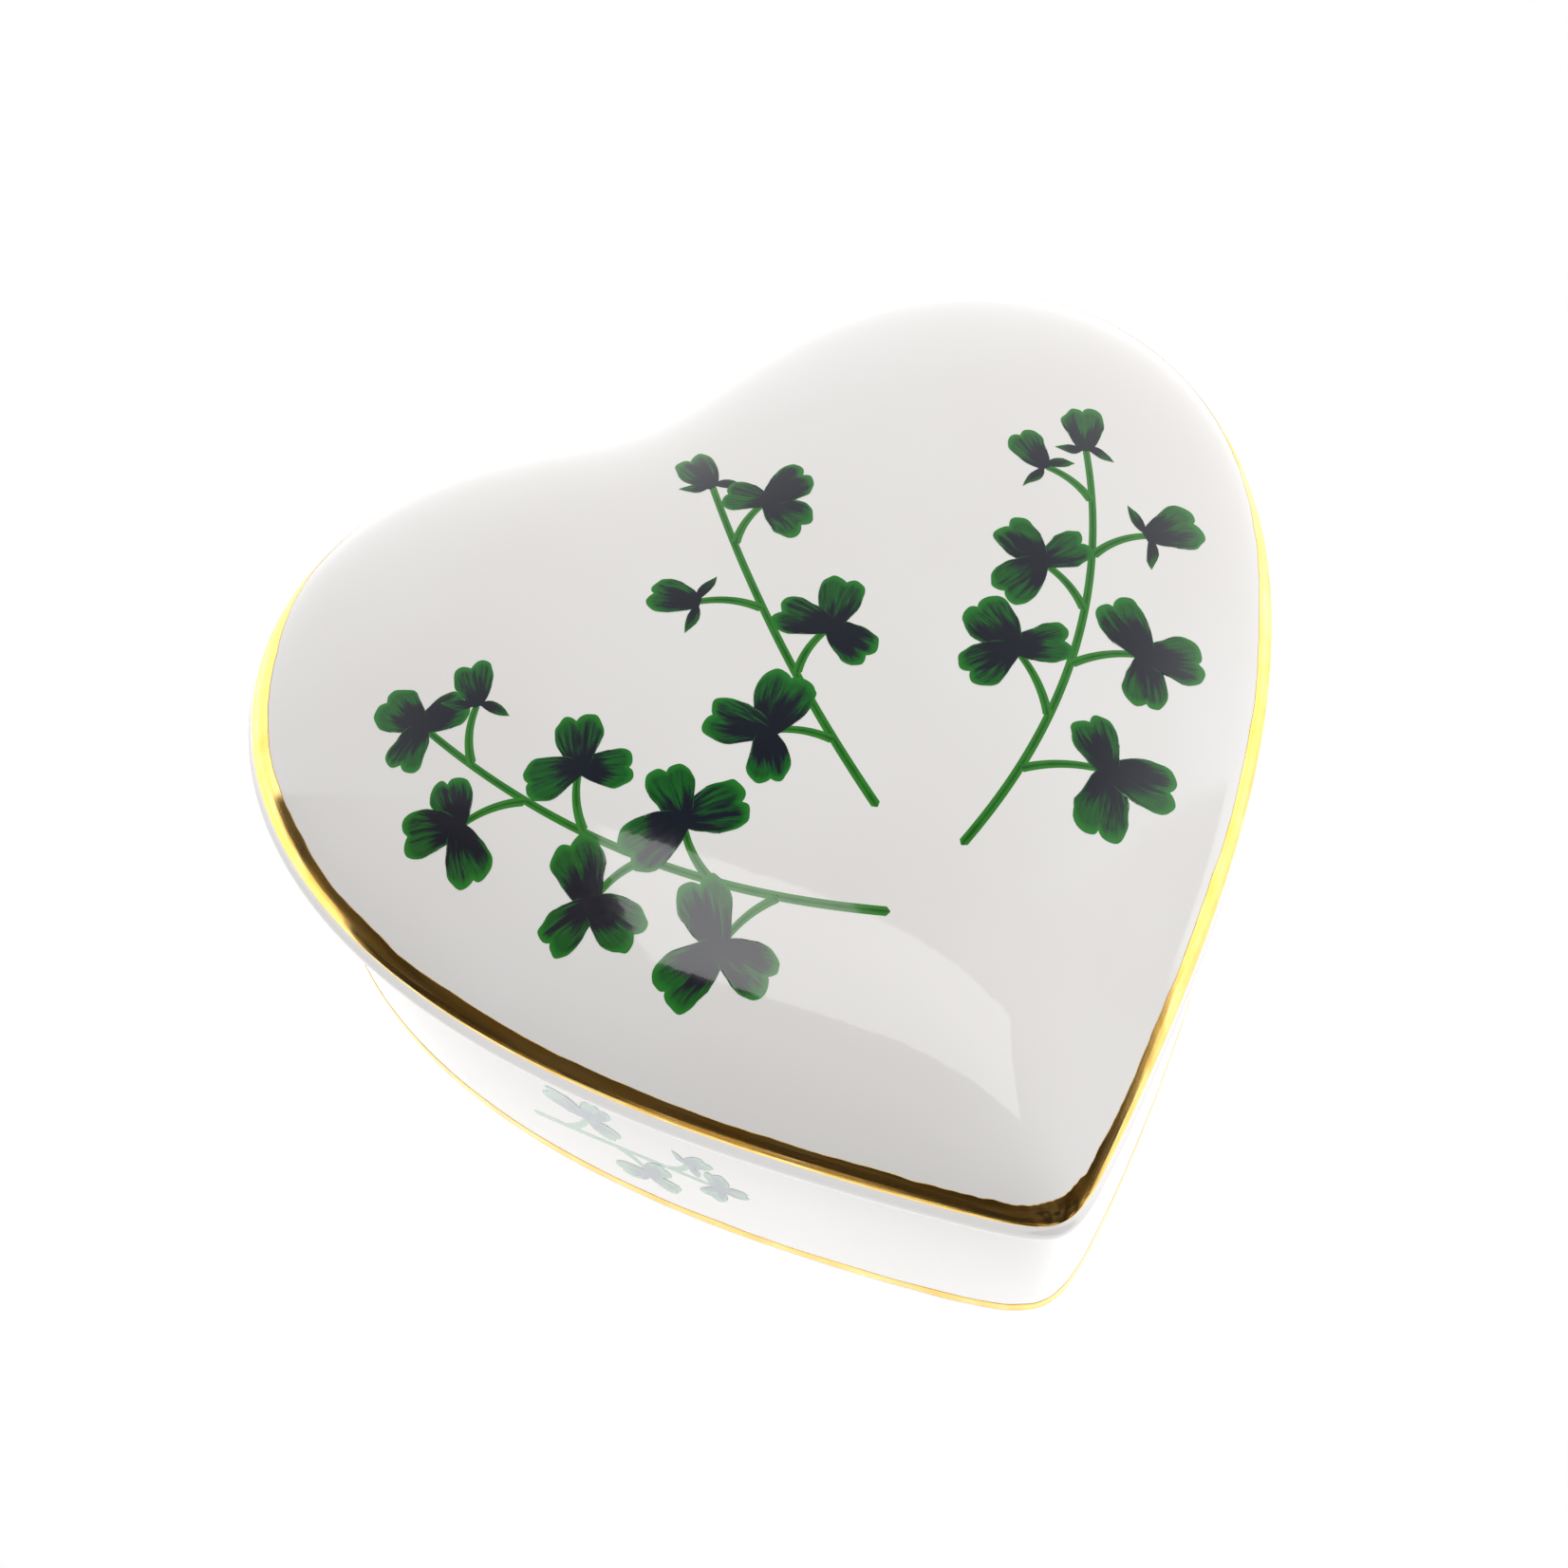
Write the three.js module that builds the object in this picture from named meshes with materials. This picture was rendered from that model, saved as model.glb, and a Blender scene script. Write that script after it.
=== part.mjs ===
// Heart-shaped trinket box in glazed porcelain: a walled tray and the domed lid that lifts off it.
// Millimetres, +Z up. The foot stands on z = 0, +X runs across the heart, -Y is its point and +Y its cleft.
import * as THREE from "three";

// The heart at the lid's widest line, as waves in one turn of the angle t, which starts at the cleft:
// x adds up across[k] sin((k + 1) t), and y adds up along[k] cos((k + 1) t).
const across = [39, 2.4, -6.8];
const along = [46.8, -8.3, -3.8, -0.5];
const alongShift = 7.46; // brings the middle of the heart's length over the origin
const halfWidth = 46; // insets are stated where the heart is widest
const softening = 0.5; // rings further in lose their short waves sooner, so point and cleft grow rounder
const segments = 80;

// Heights
const footRecess = 0.9;
const floorTop = 4;
const rimTop = 25.1;
const lidSeat = 25.4; // underside of the lid's ledge, a glaze-thick gap above the tray's rim
const shoulder = 28; // where the dome starts
const domeRise = 13;
const flangeDrop = 5; // the ring under the lid that keeps it from sliding off
const domeWall = 3.2;

// Insets from the heart at the lid's widest line
const wallFoot = 4.1; // outside of the tray at its foot, and at its rim
const wallRim = 3.5;
const wallThickness = 3;
const flangeGap = 0.7; // loose fit of the flange inside the tray
const flangeThickness = 2.2;
const footRingOuter = 5.6; // the unglazed ring that the box stands on
const footRingInner = 9.6;

// The dome's section: higher powers give a flatter middle and a steeper shoulder.
const domeAcrossPower = 2.4;
const domeUpPower = 1.5;
const domeSteps = 11;
const hollowSteps = 8;

function heartPoint(ring, t) {
  const wave = (size, k) => size * ring ** (1 + softening * k);
  const x = across.reduce((sum, size, k) => sum + wave(size, k) * Math.sin((k + 1) * t), 0);
  const y = along.reduce((sum, size, k) => sum + wave(size, k) * Math.cos((k + 1) * t), alongShift * ring);
  return [x, y];
}

// An [inset, z] pair of a section as a lathe point whose radius is the ring's share of the heart.
const sectionPoint = ([inset, z]) => new THREE.Vector2(1 - inset / halfWidth, z);

// A dome's section from its top on the axis out to its edge, as [inset, z] pairs.
function domeSection(edgeInset, edgeZ, rise, steps) {
  const edgeRing = 1 - edgeInset / halfWidth;
  return Array.from({ length: steps + 1 }, (_, step) => {
    const angle = (step / steps) * (Math.PI / 2);
    const ring = edgeRing * Math.sin(angle) ** (2 / domeAcrossPower);
    const height = step === steps ? 0 : Math.cos(angle) ** (2 / domeUpPower);
    return [halfWidth * (1 - ring), edgeZ + rise * height];
  });
}

// Turns a section round the axis and presses the round body into the heart.
function pressedHeart(section) {
  const body = new THREE.LatheGeometry(section.map(sectionPoint), segments);
  const place = body.getAttribute("position");
  for (let i = 0; i < place.count; i += 1) {
    const ring = Math.hypot(place.getX(i), place.getZ(i));
    const [x, y] = heartPoint(ring, Math.atan2(place.getX(i), place.getZ(i)));
    place.setXYZ(i, x, y, place.getY(i));
  }
  body.computeVertexNormals();
  return body;
}

function lidGeometry() {
  const flangeOuter = wallRim + wallThickness + flangeGap;
  const flangeInner = flangeOuter + flangeThickness;
  const flangeFoot = lidSeat - flangeDrop;
  const hollowInset = flangeInner + 0.3;
  const hollowEdge = lidSeat + 0.8;
  const hollowRise = shoulder + domeRise - domeWall - hollowEdge;
  return pressedHeart([
    ...domeSection(0, shoulder, domeRise, domeSteps),
    [-0.3, shoulder - 0.8],
    [-0.35, shoulder - 1.6],
    [-0.1, lidSeat + 0.3],
    [0.6, lidSeat],
    [flangeOuter - 0.3, lidSeat],
    [flangeOuter, lidSeat - 0.3],
    [flangeOuter, flangeFoot + 0.5],
    [flangeOuter + 0.5, flangeFoot],
    [flangeInner - 0.5, flangeFoot],
    [flangeInner, flangeFoot + 0.5],
    ...domeSection(hollowInset, hollowEdge, hollowRise, hollowSteps).reverse(),
  ]);
}

function trayGeometry() {
  const innerRim = wallRim + wallThickness;
  const innerFloor = wallFoot + wallThickness;
  return pressedHeart([
    [halfWidth, floorTop],
    [innerFloor + 5, floorTop],
    [innerFloor + 2.3, floorTop + 0.4],
    [innerFloor + 0.8, floorTop + 1.4],
    [innerFloor, floorTop + 3.4],
    [innerRim, rimTop - 0.6],
    [innerRim - 0.6, rimTop],
    [wallRim + 0.6, rimTop],
    [wallRim, rimTop - 0.6],
    [wallFoot, 2.4],
    [wallFoot, 1],
    [wallFoot + 0.3, 0.4],
    [wallFoot + 0.8, 0.1],
    [footRingOuter, 0],
    [footRingInner, 0],
    [footRingInner + 0.8, footRecess],
    [halfWidth, footRecess],
  ]);
}

function addPiece(group, name, geometry, material) {
  const piece = new THREE.Mesh(geometry, material);
  piece.name = name;
  group.add(piece);
}

const lidGlaze = new THREE.MeshStandardMaterial({ color: "#e9e7e4", roughness: 0.08, metalness: 0 });
const trayGlaze = new THREE.MeshStandardMaterial({ color: "#f3f2f0", roughness: 0.08, metalness: 0 });

const trinketBox = new THREE.Group();
addPiece(trinketBox, "tray", trayGeometry(), trayGlaze);
addPiece(trinketBox, "lid", lidGeometry(), lidGlaze);

export default trinketBox;
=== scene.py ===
import math
import random
import bpy
import bmesh
from mathutils import Euler, Matrix, Vector, noise
from mathutils.geometry import interpolate_bezier


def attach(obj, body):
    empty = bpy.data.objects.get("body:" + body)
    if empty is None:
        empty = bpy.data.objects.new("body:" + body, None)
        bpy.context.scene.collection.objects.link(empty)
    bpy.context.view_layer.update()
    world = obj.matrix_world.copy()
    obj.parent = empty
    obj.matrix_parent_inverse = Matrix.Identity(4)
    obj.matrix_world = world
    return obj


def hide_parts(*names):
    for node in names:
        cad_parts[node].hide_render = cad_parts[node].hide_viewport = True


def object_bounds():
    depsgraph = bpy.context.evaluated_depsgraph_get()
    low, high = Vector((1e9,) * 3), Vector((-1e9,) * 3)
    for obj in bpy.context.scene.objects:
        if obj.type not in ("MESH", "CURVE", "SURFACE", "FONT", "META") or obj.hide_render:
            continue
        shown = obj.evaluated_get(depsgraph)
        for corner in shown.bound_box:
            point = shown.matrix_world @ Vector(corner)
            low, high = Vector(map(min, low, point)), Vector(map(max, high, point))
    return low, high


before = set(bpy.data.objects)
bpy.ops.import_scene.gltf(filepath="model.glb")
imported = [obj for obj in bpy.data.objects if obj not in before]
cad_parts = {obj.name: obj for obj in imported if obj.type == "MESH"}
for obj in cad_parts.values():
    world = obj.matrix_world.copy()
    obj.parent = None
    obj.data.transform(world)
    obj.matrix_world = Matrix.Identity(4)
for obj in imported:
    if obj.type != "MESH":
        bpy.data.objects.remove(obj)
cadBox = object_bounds()
scene = bpy.context.scene
mm = 0.001

camera = {
    "azimuth": 19.88,  # degrees to the left of straight in front
    "elevation": 62.97,
    "roll": 5.06,
    "lens": 152.3,
    "distance": 600.3,  # mm, from the aim
    "aim": (-0.3, 13.8, 6.6),  # mm
}


def addCamera():
    data = bpy.data.cameras.new("studioCamera")
    data.lens = camera["lens"]
    data.sensor_width = 36
    data.clip_start = 0.01
    turn = Euler((math.radians(90 - camera["elevation"]), 0, -math.radians(camera["azimuth"]))).to_matrix()
    turn = turn @ Matrix.Rotation(-math.radians(camera["roll"]), 3, "Z")
    view = bpy.data.objects.new("studioCamera", data)
    place = Vector(camera["aim"]) + turn @ Vector((0, 0, camera["distance"]))
    view.matrix_world = Matrix.Translation(place * mm) @ turn.to_4x4()
    scene.collection.objects.link(view)
    scene.camera = view


addCamera()


def hexColour(text):
    shares = [int(text[i:i + 2], 16) / 255 for i in (1, 3, 5)]
    return [s / 12.92 if s <= 0.04045 else ((s + 0.055) / 1.055) ** 2.4 for s in shares] + [1.0]


# Adds a node with its settings; feeds holds a value or the node or socket that each input takes.
def addNode(tree, kind, feeds=(), **settings):
    node = tree.nodes.new(kind)
    for name, value in settings.items():
        setattr(node, name, value)
    for socket, value in dict(feeds).items():
        if isinstance(value, bpy.types.Node):
            value = value.outputs[0]
        if isinstance(value, bpy.types.NodeSocket):
            tree.links.new(value, node.inputs[socket])
        else:
            node.inputs[socket].default_value = value
    return node


# A colour ramp's stops as (place, colour) pairs.
def setRamp(node, stops):
    ramp = node.color_ramp
    while len(ramp.elements) < len(stops):
        ramp.elements.new(0.5)
    for element, (place, colour) in zip(ramp.elements, stops):
        element.position = place
        element.color = hexColour(colour) if isinstance(colour, str) else (colour, colour, colour, 1)
    return node


def startMaterial(name):
    material = bpy.data.materials.new(name)
    material.use_nodes = True
    tree = material.node_tree
    tree.nodes.clear()
    shader = addNode(tree, "ShaderNodeBsdfPrincipled")
    addNode(tree, "ShaderNodeOutputMaterial", {"Surface": shader})
    return material, tree, shader


def startTree(name, sockets):
    tree = bpy.data.node_groups.new(name, "GeometryNodeTree")
    tree.is_modifier = True
    tree.interface.new_socket("Geometry", in_out="OUTPUT", socket_type="NodeSocketGeometry")
    tree.interface.new_socket("Geometry", in_out="INPUT", socket_type="NodeSocketGeometry")
    for socket, kind in sockets.items():
        tree.interface.new_socket(socket, in_out="INPUT", socket_type="NodeSocket" + kind)
    return tree, addNode(tree, "NodeGroupInput")


# Runs a mesh through node trees in turn and leaves the result as a plain mesh.
def shapeByTrees(name, mesh, steps):
    piece = bpy.data.objects.new(name, mesh)
    scene.collection.objects.link(piece)
    for tree, values in steps:
        modifier = piece.modifiers.new(tree.name, "NODES")
        modifier.node_group = tree
        for item in tree.interface.items_tree:
            if item.item_type == "SOCKET" and item.in_out == "INPUT" and item.name in values:
                modifier[item.identifier] = values[item.name]
    depsgraph = bpy.context.evaluated_depsgraph_get()
    shaped = bpy.data.meshes.new_from_object(
        piece.evaluated_get(depsgraph), preserve_all_data_layers=True, depsgraph=depsgraph)
    piece.modifiers.clear()
    piece.data = shaped
    shaped.name = name
    return piece


def faceOutward(piece):
    work = bmesh.new()
    work.from_mesh(piece.data)
    bmesh.ops.recalc_face_normals(work, faces=work.faces)
    work.to_mesh(piece.data)
    work.free()

# x adds up across[k] sin((k + 1) t) and y adds up along[k] cos((k + 1) t), with t = 0 at the cleft.
heart = {
    "halfWidth": 46,  # mm, where insets are stated
    "softening": 0.5,  # rings further in lose their short waves sooner
    "across": (39, 2.4, -6.8),
    "along": (46.8, -8.3, -3.8, -0.5),
    "alongShift": 7.46,
}


# Presses an unrolled sheet (x = inset, y = angle round the heart, z = height) into the heart.
def heartTree():
    tree, given = startTree("heartPress", {
        "Half width": "Float", "Softening": "Float", "Along shift": "Float", "Material": "Material"})
    place = addNode(tree, "ShaderNodeSeparateXYZ", {0: addNode(tree, "GeometryNodeInputPosition")})
    share = addNode(tree, "ShaderNodeMath", {0: place.outputs[0], 1: given.outputs["Half width"]},
                    operation="DIVIDE")
    ring = addNode(tree, "ShaderNodeMath", {0: 1.0, 1: share}, operation="SUBTRACT")
    shift = addNode(tree, "ShaderNodeMath", {0: ring, 1: given.outputs["Along shift"]}, operation="MULTIPLY")
    sums = []
    for sizes, wave, total in ((heart["across"], "SINE", None), (heart["along"], "COSINE", shift)):
        for k, size in enumerate(sizes):
            power = addNode(tree, "ShaderNodeMath", {0: given.outputs["Softening"], 1: float(k), 2: 1.0},
                            operation="MULTIPLY_ADD")
            reach = addNode(tree, "ShaderNodeMath", {0: ring, 1: power}, operation="POWER")
            angle = addNode(tree, "ShaderNodeMath", {0: place.outputs[1], 1: k + 1.0}, operation="MULTIPLY")
            turn = addNode(tree, "ShaderNodeMath", {0: angle}, operation=wave)
            part = addNode(tree, "ShaderNodeMath", {0: reach, 1: turn}, operation="MULTIPLY")
            total = addNode(tree, "ShaderNodeMath", {0: part, 1: size * mm, 2: total or 0.0},
                            operation="MULTIPLY_ADD")
        sums.append(total)
    pressed = addNode(tree, "ShaderNodeCombineXYZ", {0: sums[0], 1: sums[1], 2: place.outputs[2]})
    moved = addNode(tree, "GeometryNodeSetPosition",
                    {"Geometry": given.outputs["Geometry"], "Position": pressed})
    closed = addNode(tree, "GeometryNodeMergeByDistance", {"Geometry": moved, "Distance": 0.002 * mm})
    smooth = addNode(tree, "GeometryNodeSetShadeSmooth", {"Geometry": closed})
    painted = addNode(tree, "GeometryNodeSetMaterial", {
        "Geometry": addNode(tree, "GeometryNodeRealizeInstances", {0: smooth}),
        "Material": given.outputs["Material"]})
    addNode(tree, "NodeGroupOutput", {0: painted})
    return tree


heartPress = heartTree()


# sectionAt(t) gives the section at angle t as [inset, z] pairs in mm.
def pressHeart(name, sectionAt, columns, material):
    sections = [sectionAt(2 * math.pi * c / columns) for c in range(columns + 1)]
    rows = len(sections[0])
    points = [(inset * mm, 2 * math.pi * c / columns, z * mm)
              for c, section in enumerate(sections) for inset, z in section]
    faces = [(c * rows + r, c * rows + r + 1, (c + 1) * rows + r + 1, (c + 1) * rows + r)
             for c in range(columns) for r in range(rows - 1)]
    mesh = bpy.data.meshes.new(name)
    mesh.from_pydata(points, [], faces)
    # runs round the heart and across the section without a break, for finishes that follow the edge
    follow = mesh.attributes.new("edgeRun", "FLOAT_VECTOR", "POINT")
    for i in range(len(points)):
        angle, share = 2 * math.pi * (i // rows) / columns, (i % rows) / (rows - 1)
        follow.data[i].vector = (math.cos(angle), math.sin(angle), share)
    piece = shapeByTrees(name, mesh, [(heartPress, {
        "Half width": heart["halfWidth"] * mm, "Softening": heart["softening"],
        "Along shift": heart["alongShift"] * mm, "Material": material})])
    faceOutward(piece)
    return piece


# Rounds the corners of a section given as (inset, z, radius).
def roundCorners(corners, steps=6):
    section = []
    for i, (inset, z, radius) in enumerate(corners):
        here = Vector((inset, z, 0))
        if radius == 0 or i in (0, len(corners) - 1):
            section.append((inset, z))
            continue
        before, after = (Vector((*corners[k][:2], 0)) - here for k in (i - 1, i + 1))
        start, end = (here + leg.normalized() * radius for leg in (before, after))
        arc = interpolate_bezier(start, start.lerp(here, 0.55), end.lerp(here, 0.55), end, steps)
        section += [(p.x, p.y) for p in arc]
    return section


def curveBetween(knots, steps):
    points = interpolate_bezier(*(Vector((*knot, 0)) for knot in knots), steps)
    return [(p.x, p.y) for p in points]

# Hard-paste porcelain, dipped in clear glaze and fired: bright, cool white with a deep wet gloss that
# breaks up a little where the glaze lies unevenly, and a rare tiny fleck.
def porcelainGlaze(name, pale, shade):
    material, tree, shader = startMaterial(name)
    place = addNode(tree, "ShaderNodeTexCoord").outputs["Object"]
    # clouds 36 mm across
    cloud = addNode(tree, "ShaderNodeTexNoise", {"Vector": place, "Scale": 28.0, "Detail": 3.0})
    tint = setRamp(addNode(tree, "ShaderNodeValToRGB", {0: cloud}), ((0.3, shade), (0.7, pale)))
    fleckCells = addNode(tree, "ShaderNodeTexVoronoi", {"Vector": place, "Scale": 75.0})  # one in 13 mm
    fleck = setRamp(addNode(tree, "ShaderNodeValToRGB", {0: fleckCells.outputs["Distance"]}),
                    ((0.009, 1.0), (0.016, 0.0)))  # 0.15 mm
    chance = addNode(tree, "ShaderNodeMath", {0: fleckCells.outputs["Color"], 1: 0.72},
                     operation="GREATER_THAN")
    rare = addNode(tree, "ShaderNodeMath", {0: fleck, 1: chance}, operation="MULTIPLY")
    soft = addNode(tree, "ShaderNodeMath", {0: rare, 1: 0.45}, operation="MULTIPLY")
    colour = addNode(tree, "ShaderNodeMix", {0: soft, 6: tint, 7: hexColour("#8d857a")}, data_type="RGBA")
    polish = addNode(tree, "ShaderNodeTexNoise", {"Vector": place, "Scale": 160.0, "Detail": 2.0})
    rough = addNode(tree, "ShaderNodeMapRange", {0: polish, 3: 0.03, 4: 0.075})
    # the glaze's slow waves, 9 mm, and its fine orange peel, 1.4 mm
    wave = addNode(tree, "ShaderNodeTexNoise", {"Vector": place, "Scale": 110.0, "Detail": 1.0})
    peel = addNode(tree, "ShaderNodeTexNoise", {"Vector": place, "Scale": 600.0, "Detail": 1.0})
    slow = addNode(tree, "ShaderNodeBump", {"Height": wave, "Strength": 0.5, "Distance": 0.05 * mm})
    fine = addNode(tree, "ShaderNodeBump", {"Height": peel, "Strength": 0.7, "Distance": 0.009 * mm,
                                            "Normal": slow})
    for socket, value in {"Base Color": colour.outputs[2], "Roughness": rough, "Normal": fine}.items():
        tree.links.new(value if isinstance(value, bpy.types.NodeSocket) else value.outputs[0],
                       shader.inputs[socket])
    shader.inputs["IOR"].default_value = 1.52
    return material


# Bright gold, brushed on by hand in one line and fired: warm yellow metal with faint streaks along
# the line, a little duller where the gold lies thin.
def burnishedGilt():
    material, tree, shader = startMaterial("burnishedGilt")
    run = addNode(tree, "ShaderNodeAttribute", attribute_name="edgeRun").outputs["Vector"]
    # 46 mm from the middle of the heart: streaks 20 mm long and 0.15 mm across
    stretched = addNode(tree, "ShaderNodeVectorMath", {0: run, 1: (2.2, 2.2, 9.0)}, operation="MULTIPLY")
    streak = addNode(tree, "ShaderNodeTexNoise", {"Vector": stretched, "Scale": 1.6, "Detail": 3.0})
    place = addNode(tree, "ShaderNodeTexCoord").outputs["Object"]
    patch = addNode(tree, "ShaderNodeTexNoise", {"Vector": place, "Scale": 260.0, "Detail": 2.0})
    both = addNode(tree, "ShaderNodeMath", {0: streak, 1: patch}, operation="MULTIPLY")
    tint = setRamp(addNode(tree, "ShaderNodeValToRGB", {0: both}), ((0.12, "#ecb850"), (0.42, "#ffdd8c")))
    rough = addNode(tree, "ShaderNodeMapRange", {0: both, 1: 0.1, 2: 0.45, 3: 0.2, 4: 0.08})
    relief = addNode(tree, "ShaderNodeBump", {"Height": streak, "Strength": 0.6, "Distance": 0.03 * mm})
    dents = addNode(tree, "ShaderNodeBump", {"Height": patch, "Strength": 0.5, "Distance": 0.03 * mm,
                                             "Normal": relief})
    for socket, value in {"Base Color": tint, "Roughness": rough, "Normal": dents}.items():
        tree.links.new(value.outputs[0], shader.inputs[socket])
    shader.inputs["Metallic"].default_value = 1.0
    return material


# The foot's flat ring is ground bare: dry, matt, a little warmer than the glaze, with a fine grit.
def groundBiscuit():
    material, tree, shader = startMaterial("groundBiscuit")
    place = addNode(tree, "ShaderNodeTexCoord").outputs["Object"]
    grit = addNode(tree, "ShaderNodeTexNoise", {"Vector": place, "Scale": 2500.0, "Detail": 3.0})  # 0.4 mm
    tint = setRamp(addNode(tree, "ShaderNodeValToRGB", {0: grit}), ((0.35, "#cdc6b9"), (0.65, "#e2ddd3")))
    relief = addNode(tree, "ShaderNodeBump", {"Height": grit, "Strength": 0.6, "Distance": 0.05 * mm})
    tree.links.new(tint.outputs[0], shader.inputs["Base Color"])
    tree.links.new(relief.outputs[0], shader.inputs["Normal"])
    shader.inputs["Roughness"].default_value = 0.8
    return material


# one glaze in two copies: the lid's colours are painted darker than the tray's, painted shade on the dome
shadedLidGlaze = porcelainGlaze("lidPorcelainGlazePaintedShade", "#ebe9e7", "#e5e2df")
trayGlaze = porcelainGlaze("trayPorcelainGlaze", "#f6f5f4", "#f1efed")
gilt = burnishedGilt()
biscuit = groundBiscuit()

lid = {
    "columns": 320,
    "seat": 25.4,  # underside of the ledge
    "shoulder": 28,  # where the dome starts
    "domeRise": 13,
    "domePowers": (2.4, 1.5),
    "bulge": 0.35,  # how far the lip stands out below the dome
    "flangeOuter": 7.2,
    "flangeInner": 9.4,
    "flangeFoot": 20.4,
    "hollowEdge": 26.2,
    "hollowTop": 37.8,
    "giltWidth": 15.6,  # degrees of the dome's section, 2.2 mm
    "giltSlipped": 5.5,
    "giltThickness": 0.02,
}


def domePoint(angle, edgeInset, edgeZ, rise):
    acrossPower, upPower = lid["domePowers"]
    edgeRing = 1 - edgeInset / heart["halfWidth"]
    ring = edgeRing * math.sin(angle) ** (2 / acrossPower)
    return heart["halfWidth"] * (1 - ring), edgeZ + rise * max(math.cos(angle), 0) ** (2 / upPower)


def lidSection(_):
    outside = [domePoint(math.pi / 2 * i / 60, 0, lid["shoulder"], lid["domeRise"]) for i in range(60)]
    low, seat, bulge = lid["shoulder"] - 1.3, lid["seat"], lid["bulge"]
    lip = curveBetween([(0, lid["shoulder"]), (-0.1, lid["shoulder"] - 0.5), (-bulge, low + 0.4),
                        (-bulge, low)], 8)
    tuck = curveBetween([(-bulge, low), (-bulge, seat + 0.3), (0, seat), (0.8, seat)], 10)
    flange = roundCorners([
        (0.8, seat, 0), (lid["flangeOuter"], seat, 0.3), (lid["flangeOuter"], lid["flangeFoot"], 0.6),
        (lid["flangeInner"], lid["flangeFoot"], 0.6), (lid["flangeInner"] + 0.3, lid["hollowEdge"], 0)])
    rise = lid["hollowTop"] - lid["hollowEdge"]
    hollow = [domePoint(math.pi / 2 * i / 32, lid["flangeInner"] + 0.3, lid["hollowEdge"], rise)
              for i in range(31, -1, -1)]
    return outside + lip + tuck[1:] + flange[1:] + hollow


# The line is laid by hand, so both its edges wander a little.
def lidGiltSection(t):
    wander = noise.noise(Vector((math.cos(t) * 9, math.sin(t) * 9, 0.3)))
    ripple = noise.noise(Vector((math.cos(t) * 30, math.sin(t) * 30, 4.1)))
    # towards the cleft the line slips down off the shoulder
    slip = min(max((math.cos(t - 0.3) - 0.05) / 0.4, 0), 1)
    width = lid["giltWidth"] + (lid["giltSlipped"] - lid["giltWidth"]) * slip
    top = math.radians(90 - width - 0.9 * wander - 0.5 * ripple)
    foot = math.radians(86.5 + 3.5 * slip)
    outer = []
    for share in (0, 0.02, 0.1, 0.2, 0.3, 0.4, 0.5, 0.6, 0.7, 0.8, 0.9, 0.96, 1):
        inset, z = domePoint(top + (foot - top) * share, 0, lid["shoulder"], lid["domeRise"])
        outer.append((inset - lid["giltThickness"] * 0.7, z + lid["giltThickness"] * 0.7))
    hang = 0.9 * slip + 0.1 * noise.noise(Vector((math.cos(t) * 14, math.sin(t) * 14, 7.7)))
    outer.append((outer[-1][0] - 0.04 * slip, outer[-1][1] - max(hang, 0.02)))
    inner = [(inset + lid["giltThickness"], z - lid["giltThickness"]) for inset, z in reversed(outer)]
    return outer + inner + outer[:1]


lidPorcelain = pressHeart("lidPorcelain", lidSection, lid["columns"], shadedLidGlaze)
lidGilt = pressHeart("lidGilt", lidGiltSection, 480, gilt)
print("lid shaped")

tray = {
    "columns": 320,
    "floor": 4,
    "rim": 25.1,
    "wallFoot": 4.1,
    "wallRim": 3.5,
    "wallThickness": 3,
    "footOuter": 5.6,
    "footInner": 9.6,
    "recess": 0.9,
    "giltFoot": 1.45,
    "giltTop": 2.8,
}


def traySection(_):
    innerFoot, innerRim = tray["wallFoot"] + tray["wallThickness"], tray["wallRim"] + tray["wallThickness"]
    floor, rim, middle = tray["floor"], tray["rim"], heart["halfWidth"]
    bed = [(middle - i * (middle - innerFoot - 5) / 12, floor) for i in range(12)]
    cove = curveBetween([(innerFoot + 5, floor), (innerFoot + 2, floor), (innerFoot, floor + 1.4),
                         (innerFoot, floor + 4)], 12)
    wall = roundCorners([
        (innerFoot, floor + 4, 0), (innerRim, rim, 0.7), (tray["wallRim"], rim, 0.7),
        (tray["wallFoot"], 2.4, 1.0), (tray["wallFoot"], 1.2, 0)])
    foot = curveBetween([(tray["wallFoot"], 1.2), (tray["wallFoot"], 0.5), (tray["wallFoot"] + 0.6, 0.04),
                         (tray["footOuter"], 0.04)], 8)
    under = roundCorners([(tray["footOuter"], 0.04, 0), (tray["footInner"], 0.04, 0.2),
                          (tray["footInner"] + 0.8, tray["recess"], 0.3), (middle, tray["recess"], 0)])
    return bed + cove + wall[1:] + foot[1:] + under[1:]


def trayGiltSection(t):
    around = Vector((math.cos(t) * 11, math.sin(t) * 11, 2.9))
    top = tray["giltTop"] + 0.16 * noise.noise(around)
    foot = tray["giltFoot"] + 0.12 * noise.noise(around + Vector((0, 0, 5)))
    outer = []
    for i in range(7):
        z = top + (foot - top) * i / 6
        slope = max(z - 2.4, 0) / (tray["rim"] - 2.4)
        outer.append((tray["wallFoot"] + (tray["wallRim"] - tray["wallFoot"]) * slope - 0.03, z))
    inner = [(inset + 0.025, z) for inset, z in reversed(outer)]
    return outer + inner + outer[:1]


def footRingSection(_):
    outer, inner = tray["footOuter"], tray["footInner"]
    return [(outer + 0.05, 0.06), (outer + 0.2, 0), (inner - 0.15, 0), (inner, 0.06), (outer + 0.05, 0.06)]


trayPorcelain = pressHeart("trayPorcelain", traySection, tray["columns"], trayGlaze)
trayGilt = pressHeart("trayGilt", trayGiltSection, 480, gilt)
footRing = pressHeart("footRing", footRingSection, 240, biscuit)
print("tray shaped")

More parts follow.
